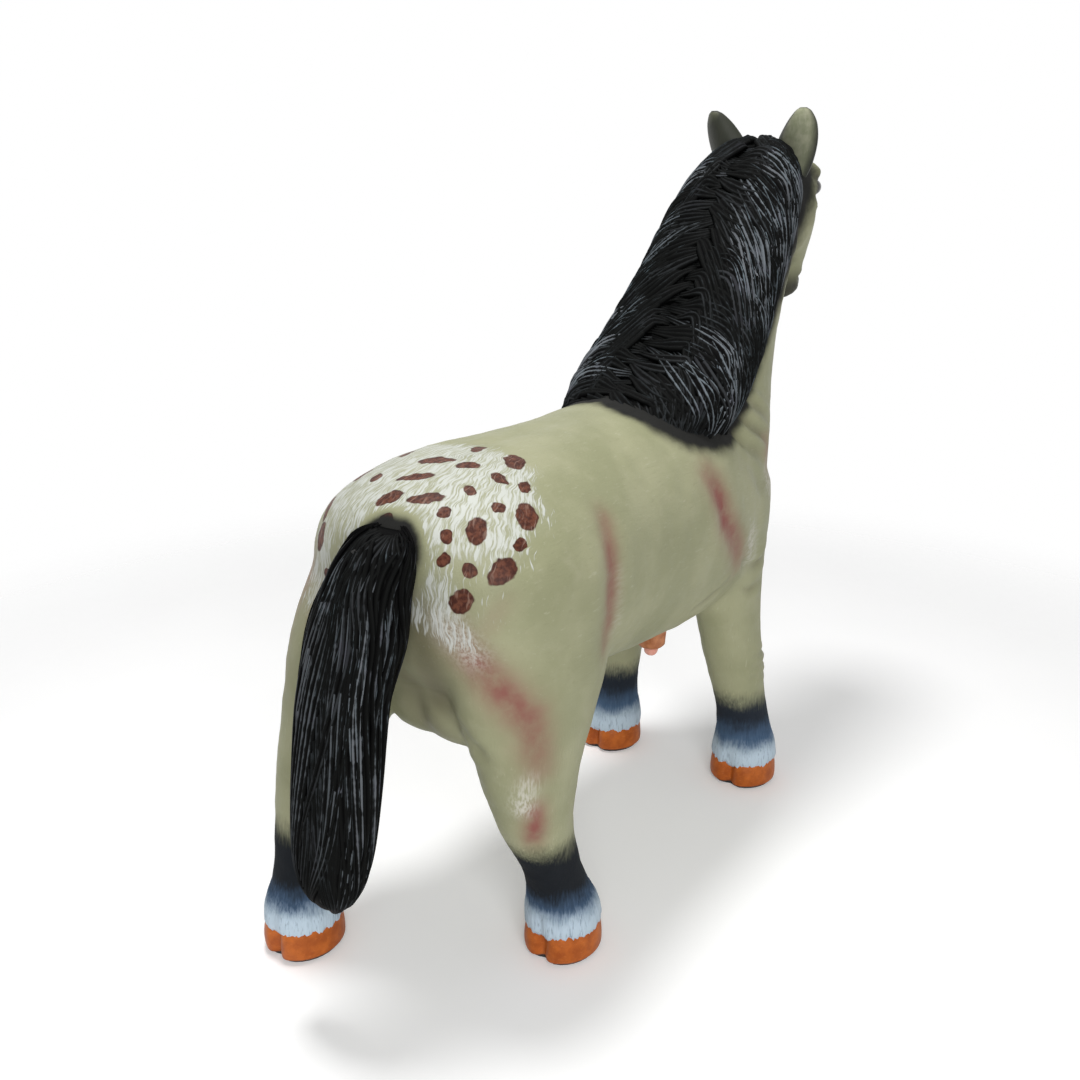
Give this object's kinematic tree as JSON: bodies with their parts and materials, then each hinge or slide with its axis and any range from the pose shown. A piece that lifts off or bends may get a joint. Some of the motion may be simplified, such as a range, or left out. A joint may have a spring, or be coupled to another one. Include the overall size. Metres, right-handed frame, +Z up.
{
  "type": "kiddie ride horse figure",
  "caption": "Free-standing ride horse figure: painted shells on a steel frame, with a nodding neck, swinging tail, hoof pads and a belly port stopper.",
  "frame": {"origin": "on the ground under the middle of the bounding box", "axes": "-Y is the way the horse faces, +X its left side, +Z up"},
  "size_m": [0.4606, 1.2588, 1.25],
  "materials": {
    "painted_shell": "satin khaki paint on a glass-fibre shell",
    "black_hair": "satin black with a moulded hair texture",
    "eye_gloss": "gloss",
    "zinc_bolt": "zinc plated",
    "orange_hoof": "satin orange-brown paint",
    "black_rubber": "matt",
    "frame_steel": "dark paint",
    "bright_steel": "turned",
    "plywood": "plain",
    "tray_aluminium": "mill",
    "brown_collar": "satin",
    "pink_stopper": "satin",
    "dark_housing": "satin"
  },
  "bodies": {
    "figure": {"backbone_tube": "frame_steel", "battery": "dark_housing", "belly_collar": "brown_collar", "control_box": "dark_housing", "dock_ring": "black_rubber", "hip_bulkhead": "plywood", "hip_crossbar": "frame_steel", "hoof_bolt_front_left": "zinc_bolt", "hoof_bolt_front_right": "zinc_bolt", "hoof_bolt_hind_left": "zinc_bolt", "hoof_bolt_hind_right": "zinc_bolt", "hoof_front_left": "orange_hoof", "hoof_front_right": "orange_hoof", "hoof_hind_left": "orange_hoof", "hoof_hind_right": "orange_hoof", "leg_post_front_left": "frame_steel", "leg_post_front_right": "frame_steel", "leg_post_hind_left": "frame_steel", "leg_post_hind_right": "frame_steel", "leg_shell_front_left": "painted_shell", "leg_shell_front_right": "painted_shell", "leg_shell_hind_left": "painted_shell", "leg_shell_hind_right": "painted_shell", "neck_bearing_left": "bright_steel", "neck_bearing_right": "bright_steel", "neck_gearmotor": "dark_housing", "neck_mount_plate": "frame_steel", "neck_sleeve": "black_rubber", "plate_bolt_front": "zinc_bolt", "plate_bolt_rear": "zinc_bolt", "shoulder_bulkhead": "plywood", "shoulder_crossbar": "frame_steel", "sole_pad_front_left": "black_rubber", "sole_pad_front_right": "black_rubber", "sole_pad_hind_left": "black_rubber", "sole_pad_hind_right": "black_rubber", "speaker": "dark_housing", "tail_gearmotor": "dark_housing", "torso_shell": "painted_shell", "tray": "tray_aluminium"},
    "neck_and_head": {"neck_shell": "painted_shell", "head_shell": "painted_shell", "mane": "black_hair", "forelock": "black_hair", "ear_left": "painted_shell", "ear_right": "painted_shell", "eye_left": "eye_gloss", "eye_right": "eye_gloss", "neck_shaft": "bright_steel", "neck_hub": "bright_steel", "neck_post": "bright_steel", "neck_rib": "plywood", "head_plate": "plywood"},
    "tail_assembly": {"tail": "black_hair", "tail_stem": "bright_steel"},
    "stopper_assembly": {"belly_stopper": "pink_stopper"}
  },
  "joints": [
    {"name": "neck_nod", "type": "hinge", "parent": "figure", "child": "neck_and_head", "pos_m": [-0.02573, -0.27712, 0.69], "axis": [1, 0, 0], "range_deg": [-5, 5]},
    {"name": "tail_swing", "type": "hinge", "parent": "figure", "child": "tail_assembly", "pos_m": [-0.02573, 0.42038, 0.6868], "axis": [0, 0, 1], "range_deg": [-7, 7]},
    {"name": "stopper_pull", "type": "slide", "parent": "figure", "child": "stopper_assembly", "axis": [0, 0, -1], "range_m": [0, 0.03]}
  ]
}
